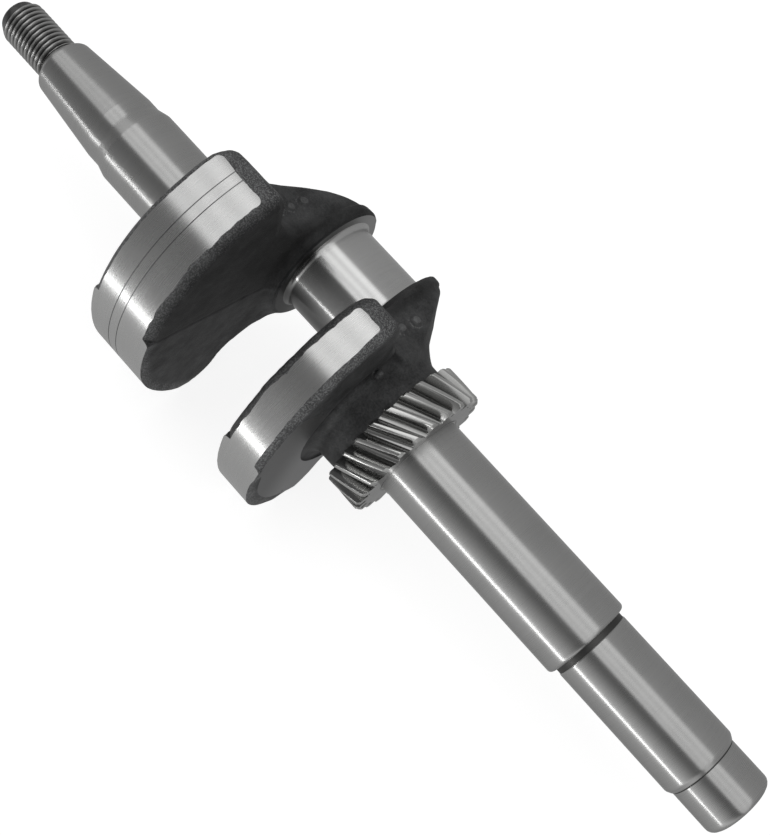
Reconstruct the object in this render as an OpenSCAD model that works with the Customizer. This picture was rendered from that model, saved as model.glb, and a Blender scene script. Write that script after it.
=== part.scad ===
// Crankshaft of a small single-cylinder engine: one steel forging with a helical timing gear pressed
// on beside the output-side web. X is the main axis and points to the output end, the crankpin lies
// towards +Y, and the origin is on the main axis in the middle of the crankpin.

/* [Crankpin] */
// Distance from the main axis to the crankpin axis, half of the piston stroke
throw_r = 23; // [22.5:0.25:23.5]
// Diameter of the crankpin
pin_d = 30; // [28:0.5:32]
// Length of the crankpin between its two thrust faces
pin_len = 24.5; // [22:0.5:26]
// Radius of the fillet at each end of the crankpin
pin_fillet = 1.5; // [0.5:0.25:2]
// Diameter of the machined thrust face around the crankpin
thrust_d = 39; // [37:0.5:40]

/* [Webs] */
// Radius of the web around the main axis
hub_r = 20.5; // [20:0.25:21]
// Radius of the web around the crankpin
lobe_r = 21.6; // [21.25:0.25:21.75]
// Distance from the main axis to the centre of the web's round end
lobe_y = 20.2; // [19.75:0.25:20.25]
// Height of the thrust faces above the webs' inner faces
thrust_t = 2.7; // [1.5:0.1:3]
// Outer face of the flywheel-side web, measured from the middle of the crankpin
flywheel_web_out = 36.2; // [35:0.1:37]
// Outer face of the output-side web
output_web_out = 28.1; // [27.5:0.1:29]
// Slope of the cone, about the main axis, that thins the flywheel-side web from its hub outwards
flywheel_hub_cone = 44.7; // [43:0.1:46]
// Slope of that cone's outer part, towards the crankpin end
flywheel_tip_cone = 47.9; // [47:0.1:49]
// Slope of the same cone on the output-side web
output_hub_cone = 36; // [35:0.5:38]
// Slope of its outer part
output_tip_cone = 40.7; // [40:0.1:42]
// Distance that the output-side cone runs on past the web, up the gear boss
boss_blend = 3.3; // [3:0.1:4]

/* [Counterweights] */
// Radius that the counterweights sweep
swing_r = 42; // [41.9:0.1:43]
// Slope of the counterweight's upper edges, in degrees
edge_angle = 17; // [10:1:20]
// Distance from the main axis to the line of an upper edge
edge_offset = 3.5; // [2:0.25:4]
// Radius of the counterweight's corners
corner_r = 7; // [4:0.5:9]
// Radius of the fillet between counterweight and web
waist_r = 8; // [6:0.5:9]

/* [Flywheel end] */
// Diameter of the flywheel-side journal
flywheel_journal_d = 25; // [24:0.5:26]
// Distance from the flywheel-side web to the end of the journal
flywheel_journal_len = 33.4; // [30:0.2:36]
// Diameter of the shoulder that the flywheel-side bearing stops against
shoulder_d = 32; // [30:0.5:34]
// Height of that shoulder above the web
shoulder_t = 1; // [0.5:0.25:1.5]
// Diameter of the neck between taper and journal, and of the taper's large end
taper_d = 23; // [22.5:0.1:23.5]
// Length of the slope from journal down to neck
neck_slope_len = 3.7; // [1:0.1:4]
// Length of the neck
neck_len = 4.4; // [2:0.2:6]
// Length of the taper, which narrows by 1 mm in diameter for each 5 mm
taper_len = 25; // [22:0.5:28]
// Outside diameter of the nut thread
thread_d = 13.8; // [13:0.1:14]
// Pitch of the nut thread
thread_pitch = 1.5; // [1.25:0.25:1.5]
// Length of the threaded stub
thread_len = 19.5; // [16:0.1:21]
// Width of the flywheel key slot
taper_key_w = 4; // [3:0.5:5]
// Diameter of the half-moon key that the slot takes
taper_key_d = 16; // [14:0.5:18]
// Depth of the slot below the taper
taper_key_t = 4.6; // [3:0.2:5]

/* [Timing gear] */
// Diameter of the boss that the gear stops against
boss_d = 37.4; // [36:0.2:38]
// Distance from the middle of the crankpin to the gear
gear_x = 36.4; // [35.5:0.1:38]
// Width of the gear
gear_w = 11.5; // [11:0.1:14]
// Number of teeth
gear_teeth = 24; // [22:1:24]
// Module of the teeth, measured square to them
gear_module = 1.5; // [1.5:0.05:1.6]
// Helix angle of the left-hand teeth
gear_helix = 27.5; // [15:0.5:30]
// Angle from the key to the middle of the nearest tooth, at the end by the boss
gear_phase = 5.4; // [0:0.1:7.5]
// Diameter of the seat that the gear is pressed on
gear_seat_d = 26; // [25.6:0.1:27]
// Width of the gear's key
gear_key_w = 4; // [3:0.5:4]
// Length of the gear's key
gear_key_len = 9; // [7:0.5:10]

/* [Output end] */
// Diameter of the output-side journal
output_journal_d = 25.4; // [24:0.1:25.5]
// Distance from the middle of the crankpin to the end of the output-side journal
output_journal_end = 112.1; // [110:0.1:118]
// Diameter of the seat for a pulley, coupling or blade holder
seat_d = 22; // [21:0.1:22.5]
// Distance from the middle of the crankpin to the end of that seat
seat_end = 153.2; // [152:0.1:158]
// Diameter of the end spigot
spigot_d = 20; // [19:0.1:20.5]
// Distance from the middle of the crankpin to the output end
shaft_end = 166.8; // [165:0.1:172]
// Width of the relief grooves beside the two steps
groove_w = 1.2; // [1:0.1:2]
// Depth of the relief grooves
groove_t = 0.5; // [0.2:0.1:0.6]
// Width of the seat's key slot
seat_key_w = 6; // [5:0.5:6]
// Length of the seat's key slot
seat_key_len = 30; // [24:1:34]
// Distance from that key slot to the end of the seat
seat_key_gap = 5; // [3:0.5:6]
// Depth of the seat's key slot
seat_key_t = 3.5; // [3:0.1:3.8]
// Core diameter of the threaded hole in the output end
bolt_core_d = 6.8; // [6:0.1:7]
// Depth of that hole
bolt_depth = 24; // [18:1:30]

/* [Hidden] */
$fn = 96;

big = 100;
overrun = 1;
machined = "#b4b6b8";
forged = "#3a3c3e";
gear_steel = "#9ea09f";
chamfer = 1;
small_chamfer = 0.4;
end_round = 1.8;
pin_half = pin_len / 2;
web_in = pin_half + thrust_t;

// Stations along the main axis
journal_x = -flywheel_web_out - flywheel_journal_len;
neck_x = journal_x - neck_slope_len;
taper_x = neck_x - neck_len;
taper_small_x = taper_x - taper_len;
taper_small_d = taper_d - taper_len / 5;
thread_slope = (taper_small_d - thread_d) / 2;
thread_runout = 0.6;
thread_x = taper_small_x - thread_slope - thread_runout;
thread_tip_x = thread_x - thread_len;
gear_end = gear_x + gear_w;
seat_key_end = seat_end - seat_key_gap;

// Thread form: a 60 degree vee with a narrow flat left on each crest, behind a coned tip
thread_depth = 0.61 * thread_pitch;
thread_crest = thread_pitch - 2 * thread_depth * tan(30);
thread_lead = 3.1;
thread_tip_d = 10.2;
thread_tip_round = 0.6;
thread_first_x = thread_tip_x + thread_lead;
thread_turns = floor((thread_x - thread_first_x - thread_crest) / thread_pitch);

// Lathe centre in the flywheel end, and countersink of the hole in the output end
centre_pilot_d = 2.5;
centre_mouth_d = 5.5;
centre_depth = 6;
bolt_mouth_w = 1;

// Gear geometry in the plane of rotation
pitch_r = gear_teeth * gear_module / cos(gear_helix) / 2;
tip_r = pitch_r + gear_module;
root_r = pitch_r - 1.25 * gear_module;
pressure = atan(tan(20) / cos(gear_helix));
base_r = pitch_r * cos(pressure);
tooth_radii = [root_r, base_r + 0.3, pitch_r, tip_r];
gear_twist = gear_w * tan(gear_helix) / pitch_r * 180 / PI;
gear_boss_chamfer = 0.7;
gear_output_chamfer = 1.3;
gear_blank_gap = 0.2;
gear_key_h = 4;
gear_key_depth = 2.4;
gear_key_gap = 0.2;
boss_fillet = 0.8 * boss_blend;
knee_r = 30;

// Outline of a web with its counterweight, in (y, z): y towards the crankpin, z across.
// Each straight stretch is known by its normal and its distance from the main axis.
arc_step = 4;
rim_last_angle = 176;
flank_lean = asin((lobe_r - hub_r) / lobe_y);
flank_n = polar(1, 90 + flank_lean);
edge_n = polar(1, edge_angle);
edge_e = polar(1, edge_angle + 90);
corner_v = edge_offset - corner_r;
corner_q = sqrt(pow(swing_r - corner_r, 2) - pow(corner_v, 2));
corner_c = corner_v * edge_n + corner_q * edge_e;
corner_angle = atan2(corner_c[1], corner_c[0]);
waist_p = edge_offset + waist_r;
waist_q = hub_r + waist_r;
waist_c = [waist_p * flank_n[1] - waist_q * edge_n[1], waist_q * edge_n[0] - waist_p * flank_n[0]]
    / (edge_n[0] * flank_n[1] - edge_n[1] * flank_n[0]);
half_outline = concat(
    arc([lobe_y, 0], lobe_r, 0, 90 + flank_lean),
    arc(waist_c, waist_r, 270 + flank_lean, 180 + edge_angle),
    arc(corner_c, corner_r, edge_angle, corner_angle),
    arc([0, 0], swing_r + overrun, corner_angle, rim_last_angle));

function involute(r) = r <= base_r ? 0 : tan(acos(base_r / r)) * 180 / PI - acos(base_r / r);
function tooth_half_angle(r) = 90 / gear_teeth + involute(pitch_r) - involute(r);
function mirrored(p) = [p[0], -p[1]];
function polar(r, a) = [r * cos(a), r * sin(a)];
function arc(c, r, a0, a1) =
    let (n = ceil(abs(a1 - a0) / arc_step)) [for (i = [0 : n]) c + polar(r, a0 + (a1 - a0) * i / n)];

// Turns a profile of [radius, station] points about the main axis
module turned(points) {
    rotate([0, 90, 0]) rotate_extrude() polygon(points);
}

// Extrudes an outline drawn in (y, z) from station a to station b. A turn twists it along a left-hand helix.
module across(a, b, turn = 0) {
    translate([a, 0, 0]) rotate([90, 0, 90])
        if (turn == 0) linear_extrude(b - a) children();
        else linear_extrude(b - a, twist = turn, slices = 8) children();
}

// A bar with round ends on the +Y side, from station a to station b and from radius r0 to radius r1
module round_ended_bar(a, b, w, r0, r1) {
    translate([a + w / 2, r0, -w / 2]) cube([b - a - w, r1 - r0, w]);
    for (x = [a + w / 2, b - w / 2])
        translate([x, r0, 0]) rotate([-90, 0, 0]) cylinder(d = w, h = r1 - r0, $fn = 48);
}

// A short pilot hole and a 60 degree countersink, opening towards -X
module lathe_centre() {
    mouth = centre_mouth_d / 2;
    pilot = centre_pilot_d / 2;
    translate([thread_tip_x, 0, 0])
        turned([[0, -overrun], [mouth, -overrun], [mouth, 0], [pilot, (mouth - pilot) * tan(60)],
                [pilot, centre_depth], [0, centre_depth]]);
}

// One groove of the thread, from the start of the crest at station x to the end of the vee
function thread_groove(x) = [
    [thread_d / 2, x + thread_crest],
    [thread_d / 2 - thread_depth, x + (thread_pitch + thread_crest) / 2],
    [thread_d / 2, x + thread_pitch],
];

module flywheel_thread() {
    tip = thread_tip_d / 2;
    grooves = [for (i = [0 : thread_turns - 1]) each thread_groove(thread_first_x + i * thread_pitch)];
    color(machined) difference() {
        turned(concat(
            [[0, thread_tip_x], [tip - thread_tip_round, thread_tip_x]],
            [[tip, thread_tip_x + thread_tip_round], [thread_d / 2, thread_first_x]],
            grooves,
            [[thread_d / 2, thread_x], [0, thread_x]]));
        lathe_centre();
    }
}

module flywheel_taper() {
    r = taper_small_d / 2;
    slot_x = (taper_small_x + taper_x) / 2;
    slot_r = (taper_small_d + taper_d) / 4;
    color(machined) difference() {
        turned([[0, thread_x], [thread_d / 2, thread_x], [thread_d / 2, taper_small_x - thread_slope],
                [r, taper_small_x], [taper_d / 2, taper_x], [0, taper_x]]);
        translate([slot_x, slot_r - taper_key_t + taper_key_d / 2, -taper_key_w / 2])
            cylinder(d = taper_key_d, h = taper_key_w);
    }
}

module flywheel_journal() {
    j = flywheel_journal_d / 2;
    shoulder_x = -flywheel_web_out - shoulder_t;
    color(machined) turned([[0, taper_x], [taper_d / 2, taper_x], [taper_d / 2, neck_x], [j, journal_x],
                            [j, shoulder_x], [shoulder_d / 2 - small_chamfer, shoulder_x],
                            [shoulder_d / 2, shoulder_x + small_chamfer],
                            [shoulder_d / 2, -flywheel_web_out], [0, -flywheel_web_out]]);
}

// The whole web: a round hub and a round lobe with flanks between them, waist fillets, and the fan
module web_outline() {
    n = len(half_outline);
    intersection() {
        circle(r = swing_r);
        polygon(concat(half_outline, [for (i = [n - 1 : -1 : 1]) mirrored(half_outline[i])]));
    }
}

// The web proper ends at the hub circle; the counterweight is the rest of the outline
module arm_region() {
    circle(r = hub_r);
    translate([0, -big / 2]) square([big, big]);
}

module arm_outline() {
    intersection() {
        web_outline();
        arm_region();
    }
}

module counterweight_outline() {
    difference() {
        web_outline();
        arm_region();
    }
}

// Two cones about the main axis that meet at knee_r. They start at the boss radius at station x and
// widen towards the crankpin.
module back_cone(x, hub_angle, tip_angle) {
    knee_x = x - (knee_r - boss_d / 2) * tan(hub_angle);
    far_x = knee_x - big * tan(tip_angle);
    turned([[0, far_x], [knee_r + big, far_x], [knee_r, knee_x], [boss_d / 2, x], [0, x]]);
}

module flywheel_side_web() {
    color(forged) mirror([1, 0, 0]) intersection() {
        across(web_in, flywheel_web_out) arm_outline();
        flywheel_cone();
    }
}

module flywheel_cone() {
    back_cone(flywheel_web_out, flywheel_hub_cone, flywheel_tip_cone);
}

module output_side_web() {
    color(forged) intersection() {
        across(web_in, output_web_out) arm_outline();
        output_cone();
    }
}

module output_cone() {
    back_cone(output_web_out + boss_blend, output_hub_cone, output_tip_cone);
}

module counterweight(a, b) {
    color(forged) across(a, b) counterweight_outline();
}

// The pad around the crankpin, with the turned face that locates the connecting rod
module thrust_pad() {
    translate([pin_half, throw_r, 0]) rotate([0, 90, 0]) cylinder(d = thrust_d, h = thrust_t);
}

module flywheel_side_thrust_face() {
    color(machined) mirror([1, 0, 0]) intersection() {
        thrust_pad();
        flywheel_cone();
    }
}

module output_side_thrust_face() {
    color(machined) intersection() {
        thrust_pad();
        output_cone();
    }
}

module crankpin() {
    r = pin_d / 2;
    f = pin_fillet;
    color(machined) translate([0, throw_r, 0]) rotate([0, 90, 0]) rotate_extrude() difference() {
        translate([0, -pin_half]) square([r + f, pin_len]);
        translate([r, f - pin_half]) square([f + overrun, pin_len - 2 * f]);
        for (s = [-1, 1]) translate([r + f, s * (pin_half - f)]) circle(r = f);
    }
}

// The boss with its root fillet; towards the crankpin the web's cone climbs part of the way up it
module gear_boss() {
    r = boss_d / 2;
    f = boss_fillet;
    color(forged) {
        rotate([0, 90, 0]) rotate_extrude() difference() {
            union() {
                translate([0, output_web_out]) square([r, gear_x - output_web_out]);
                translate([0, output_web_out]) square([r + f, f]);
            }
            translate([r + f, output_web_out + f]) circle(r = f);
        }
        intersection() {
            across(output_web_out, output_web_out + boss_blend) arm_outline();
            output_cone();
            translate([output_web_out - overrun, 0, -big / 2])
                cube([boss_blend + 2 * overrun, big, big]);
        }
    }
}

module gear_seat() {
    color(machined) difference() {
        turned([[0, gear_x], [gear_seat_d / 2, gear_x], [gear_seat_d / 2, gear_end], [0, gear_end]]);
        gear_key_shape();
    }
}

module gear_key_shape() {
    mid = gear_x + gear_w / 2;
    low = gear_seat_d / 2 - gear_key_depth;
    round_ended_bar(mid - gear_key_len / 2, mid + gear_key_len / 2, gear_key_w, low, low + gear_key_h);
}

module timing_gear_key() {
    color(gear_steel) gear_key_shape();
}

// One tooth after another: up one flank, across the tip and down the other flank
module tooth_outline() {
    polygon([for (i = [0 : gear_teeth - 1], s = [-1, 1], k = [0 : 3])
        let (r = tooth_radii[s < 0 ? k : 3 - k], middle = gear_phase + i * 360 / gear_teeth)
            polar(r, middle + s * tooth_half_angle(r))]);
}

module timing_gear() {
    low = gear_seat_d / 2;
    blank = tip_r + gear_blank_gap;
    cut_len = gear_w + 2 * overrun;
    color(gear_steel) difference() {
        intersection() {
            across(gear_x, gear_end, gear_twist) tooth_outline();
            turned([[0, gear_x], [blank - gear_boss_chamfer, gear_x], [blank, gear_x + gear_boss_chamfer],
                    [blank, gear_end - gear_output_chamfer], [blank - gear_output_chamfer, gear_end],
                    [0, gear_end]]);
        }
        translate([gear_x - overrun, 0, 0]) {
            rotate([0, 90, 0]) cylinder(r = low, h = cut_len);
            translate([0, 0, -gear_key_w / 2])
                cube([cut_len, low - gear_key_depth + gear_key_h + gear_key_gap, gear_key_w]);
        }
    }
}

module output_journal() {
    r = output_journal_d / 2;
    color(machined) turned([[0, gear_end], [r, gear_end], [r, output_journal_end - chamfer],
                            [r - chamfer, output_journal_end], [0, output_journal_end]]);
}

module output_seat() {
    r = seat_d / 2;
    color(machined) difference() {
        turned([[0, output_journal_end], [r - groove_t, output_journal_end],
                [r - groove_t, output_journal_end + groove_w], [r, output_journal_end + groove_w + groove_t],
                [r, seat_end - chamfer], [r - chamfer, seat_end], [0, seat_end]]);
        rotate([-90, 0, 0])
            round_ended_bar(seat_key_end - seat_key_len, seat_key_end, seat_key_w,
                            r - seat_key_t, r + overrun);
        bolt_hole();
    }
}

module output_spigot() {
    r = spigot_d / 2;
    color(machined) difference() {
        turned([[0, seat_end], [r, seat_end], [r, shaft_end - end_round],
                [r - small_chamfer, shaft_end - small_chamfer], [r - end_round, shaft_end], [0, shaft_end]]);
        bolt_hole();
    }
}

// The threaded hole for the bolt that holds the driven part, with its 60 degree countersink
module bolt_hole() {
    core = bolt_core_d / 2;
    mouth = core + bolt_mouth_w;
    translate([shaft_end, 0, 0])
        turned([[0, -bolt_depth - core / 2], [core, -bolt_depth], [core, -bolt_mouth_w * tan(60)],
                [mouth, 0], [mouth, overrun], [0, overrun]]);
}

flywheel_thread();
flywheel_taper();
flywheel_journal();
flywheel_side_web();
counterweight(-flywheel_web_out, -web_in);  // flywheel_side_counterweight
flywheel_side_thrust_face();
crankpin();
output_side_thrust_face();
output_side_web();
counterweight(web_in, output_web_out);  // output_side_counterweight
gear_boss();
gear_seat();
timing_gear();
timing_gear_key();
output_journal();
output_seat();
output_spigot();
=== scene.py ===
"""Crankshaft of a small engine: the looks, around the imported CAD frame. Everything is in the row frame, in
metres; shapes are worked out in millimetres and scaled once, when their mesh is made."""

import math

import bmesh
import bpy
import numpy as np
import openvdb
from mathutils import Matrix, Vector


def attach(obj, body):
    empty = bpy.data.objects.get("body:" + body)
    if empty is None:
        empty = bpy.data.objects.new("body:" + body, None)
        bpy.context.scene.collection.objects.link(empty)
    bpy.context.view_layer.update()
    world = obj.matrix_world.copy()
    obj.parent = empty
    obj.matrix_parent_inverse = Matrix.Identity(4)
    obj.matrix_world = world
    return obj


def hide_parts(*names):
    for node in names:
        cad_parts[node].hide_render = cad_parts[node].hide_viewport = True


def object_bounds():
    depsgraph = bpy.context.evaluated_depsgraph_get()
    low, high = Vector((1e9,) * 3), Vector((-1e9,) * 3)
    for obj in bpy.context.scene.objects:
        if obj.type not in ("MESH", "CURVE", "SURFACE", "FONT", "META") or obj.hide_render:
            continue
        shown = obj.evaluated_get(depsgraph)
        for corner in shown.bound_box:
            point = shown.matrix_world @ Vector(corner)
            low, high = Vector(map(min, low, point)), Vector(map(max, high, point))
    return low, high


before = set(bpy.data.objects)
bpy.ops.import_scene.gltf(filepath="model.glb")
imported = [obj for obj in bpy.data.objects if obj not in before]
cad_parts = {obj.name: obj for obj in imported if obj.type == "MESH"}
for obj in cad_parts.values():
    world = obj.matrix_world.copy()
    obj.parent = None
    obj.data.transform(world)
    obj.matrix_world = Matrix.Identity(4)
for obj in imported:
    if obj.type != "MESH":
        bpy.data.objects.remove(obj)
cad_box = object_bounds()
MM = 0.001
VOXEL = 0.4

# ---------------------------------------------------------------- sizes, in mm
# They are the CAD's, but for PAD_R, .4 smaller, and SWING_R, .02 smaller, which keeps the rims in the CAD box.
THROW, PIN_R, PIN_HALF = 23.0, 15.0, 12.25
HUB_R, LOBE_R, LOBE_Y = 20.5, 21.6, 20.2
WEB_IN, SWING_R = 14.95, 41.98
PAD_R = 19.1
EDGE_ANGLE, EDGE_OFFSET, CORNER_R, WAIST_R = math.radians(17), 3.5, 7.0, 8.0
BACK_FLYWHEEL, BACK_OUTPUT = 36.2, 28.1
BOSS_R, BOSS_BLEND, KNEE_R = 18.7, 3.3, 30.0
GEAR_X0, GEAR_W = 36.4, 11.5
GEAR_X1 = GEAR_X0 + GEAR_W
TEETH, MODULE, HELIX, PHASE = 24, 1.5, math.radians(27.5), math.radians(5.4)
SEAT_X, RELIEF_X, SPIGOT_X, END_X = 112.1, 113.7, 153.2, 166.8
JOURNAL_X, NECK_X, TAPER_X, TAPER_SMALL_X = -69.6, -73.3, -77.7, -102.7
THREAD_X, TIP_X, THREAD_R, PITCH = -105.4, -124.9, 6.9, 1.5
CONES = {-1: (44.7, 47.9), 1: (36.0, 40.7)}  # slopes in degrees of each web's two cones, by its side
SIDE_LIMIT = 39.0                        # the webs' half width across
FIELD_START, FIELD_HALF = 11.0, 44.4     # where the distance fields begin along X, and their half width
SHARP = math.radians(32)                 # edges sharper than this aren't shaded smooth
SKIN, RIM, FACED, THRUST, PIP = range(5)  # material slots of a forging


# ---------------------------------------------------------------- camera, lights, floor
def make_camera():
    focal_px, long_side_px, sensor = 1200.0, 835.0, 36.0
    px_per_mm, px_slope = 3.759, 1.4e-4
    alpha, tau = math.radians(41), math.atan(px_slope * focal_px)
    distance = focal_px / px_per_mm * MM
    along = Vector((math.cos(tau), math.sin(tau) * math.sin(alpha), -math.sin(tau) * math.cos(alpha)))
    across = Vector((0, math.cos(alpha), math.sin(alpha)))
    back = along.cross(across)
    roll = math.radians(47.595)
    right = along * math.cos(roll) + across * math.sin(roll)
    up = across * math.cos(roll) - along * math.sin(roll)
    target = Vector((34.3, 0, 0)) * MM + across * 0.24 * MM
    data = bpy.data.cameras.new("camera")
    data.sensor_width = sensor
    data.lens = focal_px * sensor / long_side_px
    data.clip_start, data.clip_end = 0.01, 20
    camera = bpy.data.objects.new("camera", data)
    bpy.context.scene.collection.objects.link(camera)
    turn = Matrix((right, up, back)).transposed().to_4x4()
    camera.matrix_world = Matrix.Translation(target + back * distance) @ turn
    bpy.context.scene.camera = camera


class Nodes:
    """A short way to write a node tree: n("Type", {input: value or socket}, setting=value) adds a node and
    returns it."""

    def __init__(self, tree):
        self.tree = tree
        tree.nodes.clear()

    def __call__(self, kind, inputs=(), **settings):
        node = self.tree.nodes.new("ShaderNode" + kind)
        for key, value in settings.items():
            setattr(node, key, value)
        for key, value in dict(inputs).items():
            socket = node.inputs[key]
            if isinstance(value, bpy.types.NodeSocket):
                self.tree.links.new(value, socket)
            else:
                socket.default_value = value
        return node

    def math(self, operation, a, b=0.0, c=0.0):
        return self("Math", {0: a, 1: b, 2: c}, operation=operation).outputs[0]

    def mix(self, fac, a, b):
        """Plain mix of two numbers."""
        return self("Mix", {0: fac, 2: a, 3: b}).outputs[0]

    def radius(self, y, z):
        return self.math("SQRT", self.math("ADD", self.math("MULTIPLY", y, y), self.math("MULTIPLY", z, z)))

    def ramp(self, fac, stops):
        node = self("ValToRGB", {0: fac})
        band = node.color_ramp
        while len(band.elements) > 1:
            band.elements.remove(band.elements[-1])
        for i, (at, value) in enumerate(stops):
            element = band.elements[0] if i == 0 else band.elements.new(at)
            element.position = at
            colour = value if isinstance(value, tuple) else (value, value, value)
            element.color = (*colour, 1)
        return node.outputs[0]


def make_world():
    """A studio around the shaft: brightness by the angle about the X axis, in degrees, from straight towards
    -Y (0) through straight up (90), and by how far along X a direction leans. Plain pale to the camera."""
    world = bpy.data.worlds.new("studio")
    bpy.context.scene.world = world
    world.use_nodes = True
    n = Nodes(world.node_tree)
    split = n("SeparateXYZ", {0: n("TexCoord").outputs["Generated"]})
    toward = n.math("MULTIPLY", split.outputs[1], -1.0)
    angle = n.math("ARCTAN2", split.outputs[2], toward)
    fac = n.math("MULTIPLY_ADD", angle, 1 / (2 * math.pi), 0.5)
    lean = n.math("MULTIPLY_ADD", split.outputs[0], .5, .5)

    def by_angle(stops):
        return n.ramp(fac, [((a + 180) / 360, v) for a, v in stops])

    def by_lean(stops):
        return n.ramp(lean, [((1 + x) / 2, v) for x, v in stops])

    box = by_angle([(39, 0), (42, .95), (46, 1.0), (53, .62), (61, 1.0), (71, .58), (80, 1.0), (87, .85),
                    (92, 0)])
    low_left = by_angle([(-180, .34), (-98, .40), (-60, .46), (-34, .44), (-26, .34), (-18, .24), (20, .19),
                         (37, .18), (44, .30), (96, .42), (120, .38), (180, .34)])
    low_right = by_angle([(-180, .34), (-98, .32), (-48, .52), (-34, .72), (-22, .80), (-8, .60), (4, .42),
                          (15, .26), (25, .16), (40, .15), (46, .30), (96, .42), (120, .38), (180, .34)])
    right = by_lean([(-.16, 0), (-.05, 1)])
    strength = by_lean([(-.55, .22), (-.42, .31), (-.35, .92), (-.18, .92), (-.08, .38), (.3, .33)])
    low = n.mix(right, low_left, low_right)
    light = n.math("MULTIPLY_ADD", n.math("MULTIPLY", box, strength), 1.58, low)
    studio = n("Background", {0: light, 1: 1.0})
    plain = n("Background", {0: (.97, .97, .97, 1), 1: 1.0})
    seen = n("LightPath").outputs["Is Camera Ray"]
    both = n("MixShader", {0: seen, 1: studio.outputs[0], 2: plain.outputs[0]})
    n("OutputWorld", {0: both.outputs[0]})


def make_strip_light():
    """A narrow lamp low in front of the shaft, which draws the thin bright line on rims and journals."""
    light = bpy.data.lights.new("strip", "AREA")
    light.shape = "RECTANGLE"
    light.size, light.size_y = 400 * MM, 9 * MM
    light.energy = .062
    lamp = bpy.data.objects.new("strip", light)
    place = Vector((0, -135, -64))
    aim = (-place).normalized()
    turn = Matrix((Vector((1, 0, 0)), (-aim).cross(Vector((1, 0, 0))), -aim)).transposed().to_4x4()
    lamp.matrix_world = Matrix.Translation(place * MM) @ turn
    lamp.visible_camera = False
    bpy.context.scene.collection.objects.link(lamp)


def make_floor():
    mesh = bpy.data.meshes.new("floor")
    half, gap = 4.0, 0.0002
    z = cad_box[0][2] - gap
    corners = [(-half, -half, z), (half, -half, z), (half, half, z), (-half, half, z)]
    mesh.from_pydata(corners, [], [(0, 1, 2, 3)])
    floor = bpy.data.objects.new("floor", mesh)
    bpy.context.scene.collection.objects.link(floor)
    material = bpy.data.materials.new("floor")
    material.use_nodes = True
    n = Nodes(material.node_tree)
    shade = n("BsdfPrincipled", {"Base Color": (.40, .40, .40, 1), "Roughness": 1.0,
                                 "Specular IOR Level": 0.0, "Emission Color": (1, 1, 1, 1),
                                 "Emission Strength": 0.84})
    n("OutputMaterial", {0: shade.outputs[0]})
    mesh.materials.append(material)
    floor.visible_glossy = floor.visible_diffuse = floor.visible_shadow = False


# ---------------------------------------------------------------- materials
def in_mm(n, scale):
    """The point in the row frame, in millimetres times scale."""
    return n("Mapping", {0: n("TexCoord").outputs["Object"], 3: tuple(1000 * s for s in scale)}).outputs[0]


def noise(n, scale, detail, rough=0.5):
    return n("TexNoise", {"Vector": in_mm(n, scale), "Detail": detail, "Roughness": rough,
                          "Scale": 1.0}).outputs[0]


def by_place(n, axis, near, far):
    """A factor that goes from near = (place in mm, value) to far along one axis of the row frame."""
    place = n("SeparateXYZ", {0: in_mm(n, (1, 1, 1))}).outputs[axis]
    return n("MapRange", {0: place, 1: near[0], 2: far[0], 3: near[1], 4: far[1]},
             interpolation_type="SMOOTHSTEP").outputs[0]


def by_radius(n, near, far):
    """The same, by the distance from the main axis."""
    place = n("SeparateXYZ", {0: in_mm(n, (1, 1, 1))})
    radius = n.radius(place.outputs[1], place.outputs[2])
    return n("MapRange", {0: radius, 1: near[0], 2: far[0], 3: near[1], 4: far[1]}).outputs[0]


def machined(name, colour, roughness, lines=1.0, along=0.0, tint=None):
    """Bare steel, ground or turned: fine lines around the main axis, a little cloudiness, faint rub marks.
    tint(n) gives a factor that darkens or lightens it by place, as each caller says."""
    material = bpy.data.materials.new(name)
    material.use_nodes = True
    n = Nodes(material.node_tree)
    fine = noise(n, (9.0, .12, .12), detail=3)
    broad = noise(n, (1.1, .05, .05), detail=2)
    cloud = noise(n, (.09, .09, .09), detail=4, rough=.6)
    grain = noise(n, (2.2, 2.2, 2.2), detail=3)
    lay = n.math("MULTIPLY_ADD", broad, .4, fine)
    streaks = n.math("MULTIPLY_ADD", lay, .16, n.math("MULTIPLY", cloud, .12))
    shade = n.ramp(streaks, [(.08, tuple(c * .86 for c in colour)), (.28, tuple(c * 1.08 for c in colour))])
    if tint:
        shade = n("VectorMath", {0: shade, 3: tint(n)}, operation="SCALE").outputs[0]
    rough = n.math("MULTIPLY_ADD", cloud, .10, n.math("MULTIPLY_ADD", fine, .06, roughness - .08))
    height = n.math("MULTIPLY_ADD", grain, .10, n.math("MULTIPLY", lay, lines))
    bump = n("Bump", {"Strength": .35, "Distance": .00002, "Height": height}).outputs[0]
    bsdf = n("BsdfPrincipled", {"Base Color": shade, "Metallic": 1.0, "Roughness": rough, "Normal": bump,
                                "Anisotropic": along})
    if along:
        n.tree.links.new(n("CombineXYZ", {0: 1.0, 1: .02, 2: .03}).outputs[0], bsdf.inputs["Tangent"])
    n("OutputMaterial", {0: bsdf.outputs[0]})
    return material


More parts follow.
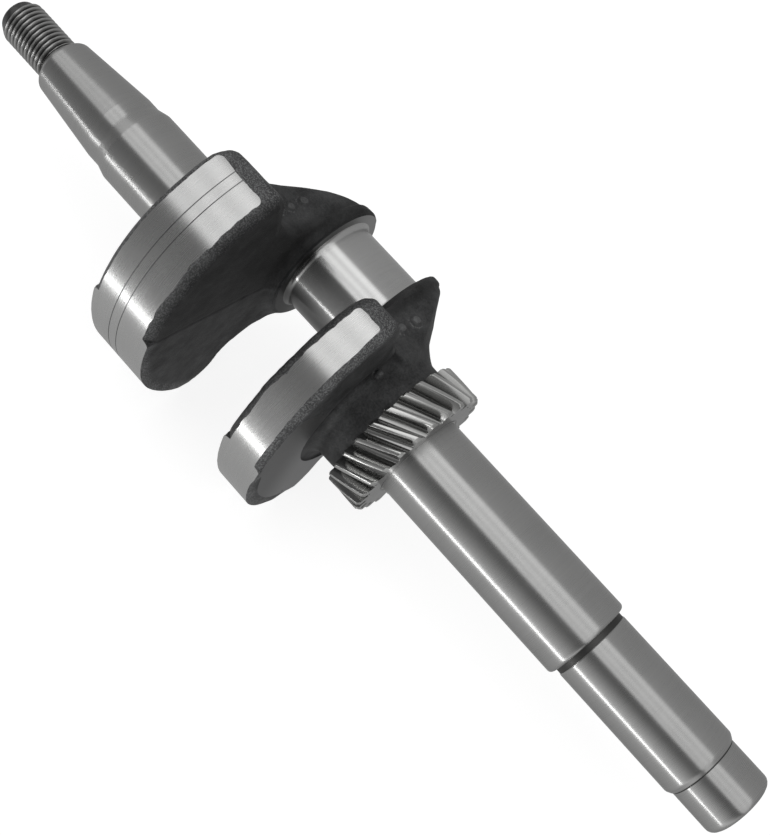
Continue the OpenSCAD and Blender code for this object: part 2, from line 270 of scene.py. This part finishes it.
def forged(name, dark, light, roughness):
    """Dark as-forged skin: grain, scale spots, lighter worn speckle near the rims, and painted shade on the
    inner faces.
    """
    material = bpy.data.materials.new(name)
    material.use_nodes = True
    n = Nodes(material.node_tree)
    grain = noise(n, (1.6, 1.6, 1.6), detail=5, rough=.65)
    patch = noise(n, (.16, .16, .16), detail=4, rough=.6)
    speck = n.ramp(noise(n, (2.6, 2.6, 2.6), detail=3, rough=.6), [(.50, 0.0), (.66, 1.0)])
    place = n("SeparateXYZ", {0: in_mm(n, (1, 1, 1))})
    y, z = place.outputs[1], place.outputs[2]
    rubbed_wear_and_highlight = n.math("MULTIPLY", n.ramp(n.math("MULTIPLY", n.radius(y, z), .02), [(.76, 0.0), (.83, 1.0)]),
                    n.ramp(n.math("MULTIPLY_ADD", y, .02, .5), [(.44, 1.0), (.56, 0.0)]))
    worn = n.math("MULTIPLY", rubbed_wear_and_highlight, n.math("MULTIPLY_ADD", speck, .85, .16))
    mixed = n.math("MULTIPLY_ADD", grain, .50, n.math("MULTIPLY", patch, .75))
    base = n.math("MULTIPLY_ADD", speck, .08, mixed)
    shade = n.ramp(n.math("ADD", base, worn),
                   [(.45, dark), (.88, light), (1.3, tuple(2.2 * c for c in light))])
    across = n.math("ABSOLUTE", place.outputs[0])
    # painted shade on the inner faces near the crankpin: the near half (z > 0) at half its colour, darker
    # still along the parting crease
    inside = n("MapRange", {0: across, 1: 16.4, 2: 18.5, 3: 1.0, 4: 0.0}).outputs[0]
    seam = n("MapRange", {0: n.math("ABSOLUTE", z), 1: .5, 2: 1.5, 3: .35, 4: 0.0}).outputs[0]
    inner_face_painted_shade = n.math("MULTIPLY", inside, n.math("ADD", seam, by_place(n, 2, (-.6, 0.0), (.6, .5))))
    shade = n("VectorMath", {0: shade, 3: n.math("SUBTRACT", 1.0, inner_face_painted_shade)}, operation="SCALE").outputs[0]
    rough = n.math("MULTIPLY_ADD", grain, .25, roughness - .12)
    height = n.math("MULTIPLY_ADD", patch, .8, grain)
    bump = n("Bump", {"Strength": .55, "Distance": .00022, "Height": height}).outputs[0]
    bsdf = n("BsdfPrincipled", {"Base Color": shade, "Metallic": .25, "Roughness": rough, "Normal": bump})
    n("OutputMaterial", {0: bsdf.outputs[0]})
    return material


# ---------------------------------------------------------------- meshes
def new_piece(name, points, faces, materials):
    mesh = bpy.data.meshes.new(name)
    mesh.from_pydata(np.asarray(points) * MM, [], faces)
    piece = bpy.data.objects.new(name, mesh)
    bpy.context.scene.collection.objects.link(piece)
    for material in materials:
        mesh.materials.append(material)
    mesh.shade_smooth()
    return piece


def ring_faces(rows, per_row, closed_rows=False):
    """Quads between rows of points that each go once around."""
    faces = []
    for i in range(rows if closed_rows else rows - 1):
        a, b = i * per_row, ((i + 1) % rows) * per_row
        faces += [(a + j, a + (j + 1) % per_row, b + (j + 1) % per_row, b + j) for j in range(per_row)]
    return faces


def lathe(name, profile, materials, segments=256, centre_y=0.0, radius=None, sharp=SHARP):
    """A closed solid turned about an axis along X. profile goes from axis to axis as (x, r), with r = 0 only
    at its ends. radius(x, r, angles) may bend a ring out of round."""
    inner = [p for p in profile if p[1] > 0]
    ends = np.array([[x, centre_y, 0] for x in (profile[0][0], profile[-1][0])])
    angles = np.arange(segments) * 2 * math.pi / segments
    points = []
    for x, r in inner:
        rr = np.full(segments, float(r)) if radius is None else radius(x, r, angles)
        ring = [np.full(segments, x), centre_y + rr * np.cos(angles), rr * np.sin(angles)]
        points.append(np.stack(ring, 1))
    points = np.concatenate(points + [ends])
    faces = ring_faces(len(inner), segments)
    first, last, base = len(points) - 2, len(points) - 1, (len(inner) - 1) * segments
    faces += [(first, (j + 1) % segments, j) for j in range(segments)]
    faces += [(last, base + j, base + (j + 1) % segments) for j in range(segments)]
    piece = new_piece(name, points, faces, materials)
    fix_normals(piece)
    piece.data.set_sharp_from_angle(angle=sharp)
    return piece


def fix_normals(piece):
    bm = bmesh.new()
    bm.from_mesh(piece.data)
    bmesh.ops.recalc_face_normals(bm, faces=bm.faces)
    bm.to_mesh(piece.data)
    bm.free()


def spread(a, b, step):
    """Stations from a to b, about step apart, both ends included."""
    n = max(1, round(abs(b - a) / step))
    return [a + (b - a) * i / n for i in range(n + 1)]


def rounded(corners, steps=5):
    """A profile from corners (x, r) or (x, r, radius). Each corner becomes an arc of its radius, with a short
    straight before and after it that keeps the shading of the long faces even."""
    points = [Vector(c[:2]) for c in corners]
    out = [tuple(points[0])]
    for before, here, after, corner in zip(points, points[1:], points[2:], corners[1:]):
        a, b = before - here, after - here
        room = min(a.length, b.length) * .42
        a.normalize()
        b.normalize()
        half = a.angle(b) / 2
        cut = min((corner[2] if len(corner) > 2 else .12) / math.tan(half), room)
        if cut < 1e-3:
            out.append(tuple(here))
            continue
        middle = here + (a + b).normalized() * (cut / math.cos(half))
        start, stop = here + a * cut, here + b * cut
        sweep = math.pi - 2 * half
        out.append(tuple(start + a * min(.12, cut)))
        for k in range(steps + 1):
            t = k / steps
            p = (start - middle) * math.sin((1 - t) * sweep) + (stop - middle) * math.sin(t * sweep)
            out.append(tuple(middle + p / math.sin(sweep)))
        out.append(tuple(stop + b * min(.12, cut)))
    out.append(tuple(points[-1]))
    return out


def boolean(piece, tool, operation):
    """Cuts a piece with a tool, keeps the result as its mesh and removes the tool."""
    modifier = piece.modifiers.new("cut", "BOOLEAN")
    modifier.operation, modifier.solver, modifier.object = operation, "MANIFOLD", tool
    deps = bpy.context.evaluated_depsgraph_get()
    mesh = bpy.data.meshes.new_from_object(piece.evaluated_get(deps))
    old = piece.data
    piece.modifiers.clear()
    name = old.name
    piece.data = mesh
    bpy.data.meshes.remove(old)
    mesh.name = name
    bpy.data.objects.remove(tool)
    mesh.shade_smooth()
    mesh.set_sharp_from_angle(angle=SHARP)


def done(piece, *nodes):
    """Fixes a finished piece to the crankshaft's one body, in place of the CAD nodes named."""
    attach(piece, "root")
    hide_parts(*nodes)


def block(outline, turn, low, high):
    """A tool to cut with: the outline (a, b) from c = low to c = high, with (a, b, c) turned to (x, y, z)."""
    count = len(outline)
    points = [tuple(turn @ Vector((a, b, c))) for c in (low, high) for a, b in outline]
    faces = ring_faces(2, count) + [tuple(range(count)), tuple(range(2 * count - 1, count - 1, -1))]
    tool = new_piece("tool", points, faces, [])
    fix_normals(tool)
    return tool


def circle(x, y, r, a0=0.0, a1=360.0, n=48):
    """Points on an arc; a full turn leaves out the repeated last one."""
    whole = a1 - a0 >= 360
    angles = [math.radians(a0 + (a1 - a0) * i / n) for i in range(n if whole else n + 1)]
    return [(x + r * math.cos(a), y + r * math.sin(a)) for a in angles]


# ---------------------------------------------------------------- turned pieces
def screw(start, pitch, depth):
    """For lathe(): a right-hand V groove, depth deep, with narrow flats on crest and root. A negative depth
    makes the thread of a hole."""
    def wall(x, r, angles):
        phase = ((x - start) / pitch - angles / (2 * math.pi)) % 1
        height = np.clip((np.abs(phase - .5) * 2 - .12) / .66, 0, 1)
        return r - depth * (1 - height)
    return wall


def flywheel_thread(materials):
    lead = THREAD_X + .5
    groove = screw(TIP_X, PITCH, .92)
    tip = rounded([(TIP_X + 6, 0), (TIP_X + 6, 1.25), (TIP_X + 2.6, 1.25), (TIP_X, 2.75, .2),
                   (TIP_X, 5.1, 1.3), (TIP_X + 3.3, THREAD_R, 3.0), (TIP_X + 4.6, THREAD_R)])
    stop = [p for p in tip if p[0] < TIP_X + 3.4 or p[1] < 3]
    profile = stop + [(x, THREAD_R) for x in spread(TIP_X + 3.5, lead, .1)] + [(lead, 0)]

    def wall(x, r, angles):
        if r < 3 or (x < TIP_X + 1.0):
            return np.full(len(angles), float(r))
        return np.minimum(groove(x, THREAD_R, angles), r)

    return lathe("flywheel_thread", profile, materials, segments=192, radius=wall,
                 sharp=math.radians(40))


def flywheel_taper(materials):
    small, large, key_r, key_depth, key_half = 9.0, 11.5, 8.0, 4.6, 2.0
    profile = rounded([(THREAD_X, 0), (THREAD_X, THREAD_R - .9, 0), (THREAD_X + .6, THREAD_R - .4, .3),
                       (TAPER_SMALL_X, small, 1.6), (TAPER_X, large, 0), (TAPER_X, 0)])
    piece = lathe("flywheel_taper", profile, materials)
    mid = (TAPER_X + TAPER_SMALL_X) / 2
    floor_y = (small + large) / 2 - key_depth
    tool = block(circle(mid, floor_y + key_r, key_r, n=64), Matrix.Identity(3), -key_half, key_half)
    boolean(piece, tool, "DIFFERENCE")
    return piece


def flywheel_journal(materials):
    neck, journal, shoulder, undercut, back = 11.5, 12.5, 16, 12.2, -BACK_FLYWHEEL
    profile = rounded([(TAPER_X, 0), (TAPER_X, neck, 0), (NECK_X, neck, 4), (JOURNAL_X, journal, 2.5),
                       (back - 1.9, journal, .2), (back - 1.6, undercut, .2), (back - 1, undercut, .2),
                       (back - 1, shoulder, .35), (back + .2, shoulder, 0), (back + .2, 0)])
    return lathe("flywheel_journal", profile, materials)


def crankpin(materials):
    """The pin with a fillet at each end, which runs out on the pad's flat face."""
    fillet, face, flange = 1.5, PIN_HALF + .02, PIN_R + 3.7
    half = [(face + .4, flange, 0), (face, flange, 0), (face, PIN_R, fillet)]
    left = [(-x, r, c) for x, r, c in half]
    profile = rounded([(-face - .4, 0), *left, *half[::-1], (face + .4, 0)], steps=8)
    piece = lathe("crankpin", profile, materials, centre_y=THROW)
    for polygon in piece.data.polygons:
        polygon.material_index = int(abs(polygon.center.x) > (face - .02) * MM)
    return piece


def output_journal(materials):
    r = 12.7
    profile = rounded([(GEAR_X1 - .05, 0), (GEAR_X1 - .05, r, 0), (SEAT_X, r, 1.15), (SEAT_X, 0)])
    return lathe("output_journal", profile, materials)


def output_end(materials):
    """The coupling seat with its key slot, and the spigot with its threaded hole."""
    seat, spigot, core, depth = 11.0, 10.0, 3.4, 24
    hole = END_X - depth
    profile = rounded([(SEAT_X - .05, 0), (SEAT_X - .05, seat - .2, .1), (RELIEF_X, seat - .2, .3),
                       (RELIEF_X + .3, seat, .3), (SPIGOT_X - 1.3, seat, 1.6),
                       (SPIGOT_X, seat - .75, .15),
                       (SPIGOT_X, spigot - .1, .05), (SPIGOT_X + .3, spigot - .1, .1),
                       (SPIGOT_X + .4, spigot, .1), (END_X, spigot, 1.9), (END_X, core + 1, .25),
                       (END_X - 1.7, core)])
    profile += [(x, core) for x in spread(END_X - 1.8, hole + 3, .13)] + [(hole, core), (hole - 1.7, 0)]
    groove = screw(END_X, 1.25, -.62)

    def wall(x, r, angles):
        if r != core:
            return np.full(len(angles), float(r))
        fade = min(1, max(0, (x - hole - 3) / 2))
        return core + (groove(x, core, angles) - core) * fade

    piece = lathe("output_end", profile, materials, radius=wall)
    width, length, floor_r = 6.0, 30.0, seat - 3.5
    a, b = SPIGOT_X - 5 - length + width / 2, SPIGOT_X - 5 - width / 2
    outline = circle(a, 0, width / 2, 90, 270, 24) + circle(b, 0, width / 2, -90, 90, 24)
    down = Matrix(((1, 0, 0), (0, 1, 0), (0, 0, -1)))
    boolean(piece, block(outline, down, floor_r, seat + 2), "DIFFERENCE")
    # the relief groove and the small step by the spigot take the second slot, a near-black steel that paints
    # shade
    for face in piece.data.polygons:
        x = face.center.x / MM
        if x < RELIEF_X + .1 or SPIGOT_X + .01 < x < SPIGOT_X + .35:
            face.material_index = 1
    return piece


# ---------------------------------------------------------------- the timing gear
def involute(angle):
    return math.tan(angle) - angle


def tooth_outline():
    """One turn of the teeth in the plane of rotation, as (radius, angle), with fillets and broken tips."""
    pitch_r = TEETH * MODULE / math.cos(HELIX) / 2
    pressure = math.atan(math.tan(math.radians(20)) / math.cos(HELIX))
    base_r = pitch_r * math.cos(pressure)
    root_r, tip_r = pitch_r - 1.25 * MODULE, pitch_r + MODULE
    step = 2 * math.pi / TEETH

    def half(r):
        return step / 4 + involute(pressure) - involute(math.acos(min(1.0, base_r / r)))

    low = base_r + .06
    side = [(tip_r, half(tip_r) - .10 / tip_r), (tip_r - .03, half(tip_r - .03) - .03 / tip_r)]
    side += [(r, half(r)) for r in np.linspace(tip_r - .11, low, 9)]
    side += [(root_r + dr, half(low) + da / root_r) for dr, da in ((.2, .05), (.07, .18), (.01, .34))]
    tooth = [(r, -a) for r, a in reversed(side)] + [(tip_r, 0.0)] + side + [(root_r, step / 2)]
    return np.array([(r, a + i * step) for i in range(TEETH) for r, a in tooth]), pitch_r, tip_r


def timing_gear(materials):
    outline, pitch_r, tip_r = tooth_outline()
    bore, blank = 13.02, tip_r + .2
    boss_chamfer, output_chamfer = .6, .9
    stations = [0, .25, .5, *spread(.8, GEAR_W - 1.25, .7)]
    stations += [GEAR_W - 1.1, GEAR_W - .7, GEAR_W - .35, GEAR_W]
    rows = []
    for x in stations:
        limit = blank - max(0.0, boss_chamfer - x, output_chamfer - (GEAR_W - x))
        rows.append((x, np.minimum(outline[:, 0], limit)))
    mouth = .7
    inner = [(GEAR_W, bore + mouth), (GEAR_W - mouth, bore)]
    inner += [(x, bore) for x in spread(GEAR_W - 1.4, 1.4, .8)] + [(mouth, bore), (0, bore + mouth)]
    rows += [(x, np.full(len(outline), r)) for x, r in inner]
    points = []
    for x, r in rows:
        angle = outline[:, 1] + PHASE - x * math.tan(HELIX) / pitch_r
        points.append(np.stack([np.full(len(r), GEAR_X0 + x), r * np.cos(angle), r * np.sin(angle)], 1))
    faces = ring_faces(len(rows), len(outline), closed_rows=True)
    piece = new_piece("timing_gear", np.concatenate(points), faces, materials)
    fix_normals(piece)
    low, high, half = 8, 14.8, 2
    keyway = [(low, -half), (high, -half), (high, half), (low, half)]
    along_x = Matrix(((0, 0, 1), (1, 0, 0), (0, 1, 0)))
    boolean(piece, block(keyway, along_x, GEAR_X0 - 1, GEAR_X1 + 1), "DIFFERENCE")
    return piece


# ---------------------------------------------------------------- the forging, as distance fields
def smoothstep(a, b, x):
    t = np.clip((x - a) / (b - a), 0, 1)
    return t * t * (3 - 2 * t)


def mix(a, b, t):
    return a + (b - a) * t


def joined(a, b, r):
    """Union with a fillet of radius r."""
    return np.maximum(r, np.minimum(a, b)) - np.hypot(np.maximum(r - a, 0), np.maximum(r - b, 0))


def common(a, b, r):
    """Intersection with an edge rounded to radius r."""
    return -joined(-a, -b, r)


def lattice_noise(grids, size, seed):
    """Smooth noise of about -1 to 1 on a grid, from random values on a lattice size mm apart."""
    rng = np.random.default_rng(seed)
    spans = [(g.ravel() - g.ravel()[0]) / size for g in grids]
    counts = [int(s[-1]) + 2 for s in spans]
    field = rng.uniform(-1, 1, counts)
    for axis, s in enumerate(spans):
        i = s.astype(int)
        t = s - i
        t = t * t * (3 - 2 * t)
        weight = np.zeros((len(s), counts[axis]))
        weight[np.arange(len(s)), i] += 1 - t
        weight[np.arange(len(s)), i + 1] += t
        field = np.moveaxis(np.tensordot(weight, field, axes=(1, axis)), 0, axis)
    return field


# Raised round pips where the real forging has its marks: u, y, z of the middle and radius
PIPS = {-1: ((22.6, 12.4, 19.9, 2.0), (22.6, 7.4, 20.0, 1.9), (22.6, 3.6, 20.2, 1.7)),
        1: ((22.3, 12.6, 19.9, 2.0), (22, 6.8, 20.0, 2.0), (28.4, -7.8, 18.6, 1.4))}


def web_field(u, y, z, side):
    """Distance to one web with its counterweight. u runs outwards from the middle of the crankpin."""
    flywheel = side < 0
    r = np.hypot(y, z)
    upper = smoothstep(-.25, .25, z)
    # the outline across: hub, lobe and flanks, and the fan below its sloping upper edges
    edge = y * math.cos(EDGE_ANGLE) + np.abs(z) * math.sin(EDGE_ANGLE) - EDGE_OFFSET
    fan = smoothstep(2.5, -2.5, edge)
    lean = (HUB_R - LOBE_R) / LOBE_Y
    flat = math.sqrt(1 - lean * lean)
    along = -lean * np.abs(z) + flat * y
    lobe, flank = np.hypot(y - LOBE_Y, z) - LOBE_R, flat * np.abs(z) + lean * y - HUB_R
    arm = np.where(along < 0, r - HUB_R, np.where(along > flat * LOBE_Y, lobe, flank))
    rim = r - mix(SWING_R + 1.2, SWING_R + .3, upper)
    corner = mix(CORNER_R + 3.8, CORNER_R + (.2 if flywheel else .9), upper)
    outline = joined(arm + .8 * smoothstep(4, 14, y), common(rim, edge, corner), WAIST_R)
    outline = np.maximum(outline, np.abs(z) - SIDE_LIMIT)
    # the inner and outer faces, with the forging's draft
    if flywheel:
        inner = WEB_IN + np.abs(z) * mix(.022, .012, upper) * fan
        outer = BACK_FLYWHEEL + fan * mix(.07 * z, .4, upper)
        start = BACK_FLYWHEEL
        in_edge, out_edge = 3.8, 3.4 + 1.2 * smoothstep(-16, -9, y)
    else:
        inner = WEB_IN + fan * mix(.075 * np.abs(z), .006 * z - .35, upper)
        start = BACK_OUTPUT + BOSS_BLEND
        fan_outer = BACK_OUTPUT - np.abs(z) * mix(.008, .021, upper) - .8 * smoothstep(23.9, 23.4, r)
        fan_outer = fan_outer - .55 * smoothstep(38.0, 38.8, r) * smoothstep(-3, -8, z)
        outer = mix(start + .4, fan_outer, smoothstep(1.5, -2.0, y))
        in_edge, out_edge = 3.8, 3.2
    in_round = mix(1.2, mix(.5, in_edge, upper), fan)
    out_round = mix(1.2, mix(.5 if flywheel else 1.5, out_edge, upper), fan)
    body = common(outline, inner - u, in_round)
    # the raised pad around the crankpin
    pin_r = np.hypot(y - THROW, z)
    pad = np.maximum((pin_r - PAD_R - .5 - (u - PIN_HALF)) * math.sqrt(.5), PIN_HALF - .5 - u)
    pad = np.maximum(np.maximum(pad, u - 15.4), outline - .8)
    body = joined(body, pad, 1.0)
    # the two cones that thin the web towards the crankpin
    hub_a, tip_a = (math.radians(a) for a in CONES[side])
    knee_u = start - (KNEE_R - BOSS_R) * math.tan(hub_a)
    hub_cone = (r - KNEE_R) * math.sin(hub_a) + (u - knee_u) * math.cos(hub_a) + .7 * smoothstep(20, 23, r)
    tip_cone = (r - KNEE_R) * math.sin(tip_a) + (u - knee_u) * math.cos(tip_a)
    cone = np.maximum(hub_cone, tip_cone) + .45 - 32 * smoothstep(1.0, -3.5, edge)
    back = common(cone, u - outer, .8)
    body = common(body, back, out_round)
    if not flywheel:
        boss = np.maximum(r - BOSS_R, u - GEAR_X0 - .4)
        body = joined(body, np.maximum(boss, 20 - u), 2.7)
    for pip_u, pip_y, pip_z, pip_r in PIPS[side]:
        pip = np.sqrt((u - pip_u) ** 2 + (y - pip_y) ** 2 + (z - pip_z) ** 2) - pip_r
        body = joined(body, pip, .4)
    grids = (u, y, z)
    # the parting line, the skin's unevenness (rougher on the trimmed edges), and lumps of parting flash
    body = body + .2 * np.exp(-(z / .5) ** 2) * smoothstep(3, 0, u - WEB_IN) * fan
    rough_edge = upper * fan * smoothstep(-4, -1, outline) * smoothstep(6, 1.5, u - inner)
    body = body + .13 * lattice_noise(grids, 7.0, 11) + .05 * lattice_noise(grids, 2.2, 12)
    body = body + (.03 + .10 * rough_edge) * lattice_noise(grids, 1.3, 13)
    flash = np.exp(-(z / 1.6) ** 2) * smoothstep(33, 38, r) * smoothstep(4, 1, u - inner) * fan
    return body - .45 * flash * np.maximum(lattice_noise(grids, 3.0, 14), 0)


# The turned crescent's inner and outer radius and its station, and the stations of the scribed lines
CRESCENT = (23.7, 40.7, BACK_OUTPUT - .32)
SCRIBES = (25.4, 28.4)


def envelope(side):
    """What the lathe leaves about the main axis: rims, scribed lines, the crescent and the boss end."""
    rim = [(11, 0), (11, SWING_R)]
    if side < 0:
        for x in SCRIBES:
            rim += [(x - .14, SWING_R), (x, SWING_R - .12), (x + .14, SWING_R)]
        rim += [(60, SWING_R), (60, 0)]
    else:
        low, high, x = CRESCENT
        rim += [(30, SWING_R), (30, high + .3), (x, high), (x, low), (GEAR_X0, low - .4), (GEAR_X0, 0)]
    return lathe("tool", [(side * x, r) for x, r in rim], [], segments=360)


def pin_envelope(side):
    """What the lathe leaves about the crankpin axis: the pad's flat face."""
    low, far, wide = PIN_HALF + .4, 60, 110
    profile = [(PIN_HALF, 0), (PIN_HALF, PAD_R), (low, PAD_R + .3), (low, wide), (far, wide), (far, 0)]
    return lathe("tool", [(side * x, r) for x, r in profile], [], segments=360, centre_y=THROW)


def forging(name, side, materials, reach):
    """Half of the forging as a mesh: the field as forged, then cut to its turned faces by lathe shapes.
    reach is where the field ends along X."""
    u = np.arange(FIELD_START, reach, VOXEL)[:, None, None]
    y = np.arange(-FIELD_HALF, FIELD_HALF, VOXEL)[None, :, None]
    z = np.arange(-FIELD_HALF, FIELD_HALF, VOXEL)[None, None, :]
    field = web_field(u, y, z, side).astype(np.float32)
    grid = openvdb.FloatGrid(3.0)
    grid.copyFromArray(field)
    points, quads = grid.convertToQuads(0.0)
    points = np.asarray(points, float) * VOXEL + np.array([FIELD_START, -FIELD_HALF, -FIELD_HALF])
    points[:, 0] *= side
    piece = new_piece(name, points, np.asarray(quads).tolist(), materials)
    fix_normals(piece)
    boolean(piece, envelope(side), "INTERSECT")
    boolean(piece, pin_envelope(side), "INTERSECT")
    finish_forging(piece, side)
    return piece


def finish_forging(piece, side):
    """Gives turned faces their material and true normals, and leaves smooth ones on the forged skin."""
    mesh = piece.data
    count = len(mesh.polygons)
    normal = np.zeros(count * 3)
    centre = np.zeros(count * 3)
    area = np.zeros(count)
    mesh.polygons.foreach_get("normal", normal)
    mesh.polygons.foreach_get("center", centre)
    mesh.polygons.foreach_get("area", area)
    normal, centre = normal.reshape(-1, 3), centre.reshape(-1, 3) / MM
    radial = np.hypot(centre[:, 1], centre[:, 2])
    pin_r = np.hypot(centre[:, 1] - THROW, centre[:, 2])
    u, out_x = centre[:, 0] * side, normal[:, 0] * side
    rim = (radial > SWING_R - .02) & (np.abs(out_x) < .02)
    by_scribe = np.any([np.abs(u - x) < .2 for x in SCRIBES], 0)
    scribe = (side < 0) & (radial > SWING_R - .2) & ~rim & by_scribe
    low, _, x = CRESCENT
    crescent = (side > 0) & (np.abs(u - x) < .01) & (out_x > .99) & (radial > low - .1)
    boss_end = (side > 0) & (np.abs(u - GEAR_X0) < .01)
    pad_face = np.abs(u - PIN_HALF) < .01
    pip = np.zeros(count, bool)
    for pip_u, pip_y, pip_z, pip_r in PIPS[side]:
        away = np.sqrt((u - pip_u) ** 2 + (centre[:, 1] - pip_y) ** 2 + (centre[:, 2] - pip_z) ** 2)
        pip |= (away < pip_r + .15) & (normal[:, 2] > .8)
    index = np.zeros(count, int)
    index[rim] = RIM
    index[crescent | boss_end | scribe] = FACED
    index[pad_face] = THRUST
    # pip tops facing +Z get the lighter skin slot: partly wear, partly a painted highlight
    index[pip] = PIP
    mesh.polygons.foreach_set("material_index", index)
    loops = np.zeros(len(mesh.loops), int)
    mesh.loops.foreach_get("vertex_index", loops)
    starts = np.zeros(count, int)
    totals = np.zeros(count, int)
    mesh.polygons.foreach_get("loop_start", starts)
    mesh.polygons.foreach_get("loop_total", totals)
    face_of = np.repeat(np.arange(count), totals)
    co = np.zeros(len(mesh.vertices) * 3)
    mesh.vertices.foreach_get("co", co)
    co = co.reshape(-1, 3)
    skin = np.isin(index[face_of], (SKIN, PIP))
    total = np.zeros((len(co), 3))
    np.add.at(total, loops[skin], (normal * area[:, None])[face_of[skin]])
    out = total[loops]
    flat = np.isin(index[face_of], (FACED, THRUST))
    out[flat] = normal[face_of[flat]]
    turned = index[face_of] == RIM
    out[turned] = co[loops[turned]] * np.array([0, 1, 1])
    out /= np.maximum(np.linalg.norm(out, axis=1, keepdims=True), 1e-12)
    mesh.shade_smooth()
    mesh.normals_split_custom_set(out.tolist())


# ---------------------------------------------------------------- build
make_camera()
make_world()
make_strip_light()
make_floor()

STEEL = (.50, .50, .495)
BRIGHT = (.62, .62, .615)
ground = machined("ground_steel", STEEL, .28, lines=.5, along=.85)
# painted shade: the pin's colour falls to a quarter from z = 6 down to z = -4, so its lower side reads dark
painted_shade_pin_steel = machined("pin_steel_painted_shade", BRIGHT, .24, lines=.5, along=.85,
                    tint=lambda n: by_place(n, 2, (-4.0, .24), (6.0, 1.0)))
turned = machined("turned_steel", BRIGHT, .27, lines=1.6, along=.8)
# painted shade: the thread flanks darken towards the roots, to a fifth of the colour at r = 6.1
thread_steel_painted_root_shade = machined("thread_steel_painted_root_shade", (.52, .52, .515), .28,
                        tint=lambda n: by_radius(n, (6.1, .22), (6.8, 1.0)))
# painted light: faced steel is lit up to 1.8 times towards y = -16, and left at its own colour towards y = -32
faced = machined("faced_steel_painted_light", (.19, .19, .192), .42,
                 tint=lambda n: by_place(n, 1, (-32.0, 1.0), (-16.0, 1.8)))
# darker towards y = 8, the main axis side of the pad face, down to a sixth of the colour
thrust = machined("thrust_face_steel", (.42, .42, .42), .40,
                  tint=lambda n: by_place(n, 1, (8.0, .16), (36.0, 1.0)))
# painted shade: a near-black steel for the relief groove and the spigot step
relief_painted_shade = machined("dark_groove_painted_shade", (.09, .09, .088), .42)
# painted shade: the teeth darken towards their roots, to 0.6 of the colour at r = 19.5
gear_steel = machined("gear_steel", (.58, .58, .57), .22,
                      tint=lambda n: by_radius(n, (19.5, .6), (22.0, 1.0)))
skin = forged("forged_skin", (.0120, .0125, .0130), (.100, .101, .102), .55)
# a lighter copy of the skin for the pip tops: partly wear, partly a painted highlight
rubbed_wear_and_highlight = forged("pip_top_wear_and_highlight_skin", (.05, .051, .052), (.17, .171, .172), .5)

forging_looks = [skin, turned, faced, thrust, rubbed_wear_and_highlight]
done(forging("flywheel_side_forging", -1, forging_looks, 38.0),
     "flywheel_side_web", "flywheel_side_counterweight", "flywheel_side_thrust_face")
done(forging("output_side_forging", 1, forging_looks, 39.5),
     "output_side_web", "output_side_counterweight", "output_side_thrust_face", "gear_boss")
done(flywheel_thread([thread_steel_painted_root_shade]), "flywheel_thread")
done(flywheel_taper([ground]), "flywheel_taper")
done(flywheel_journal([ground]), "flywheel_journal")
done(crankpin([painted_shade_pin_steel, thrust]), "crankpin")
done(timing_gear([gear_steel]), "timing_gear")
done(output_journal([ground]), "output_journal")
done(output_end([ground, relief_painted_shade]), "output_seat", "output_spigot")
for node, look in (("gear_seat", ground), ("timing_gear_key", gear_steel)):
    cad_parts[node].data.materials.clear()
    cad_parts[node].data.materials.append(look)

bpy.context.scene.view_settings.view_transform = "Standard"
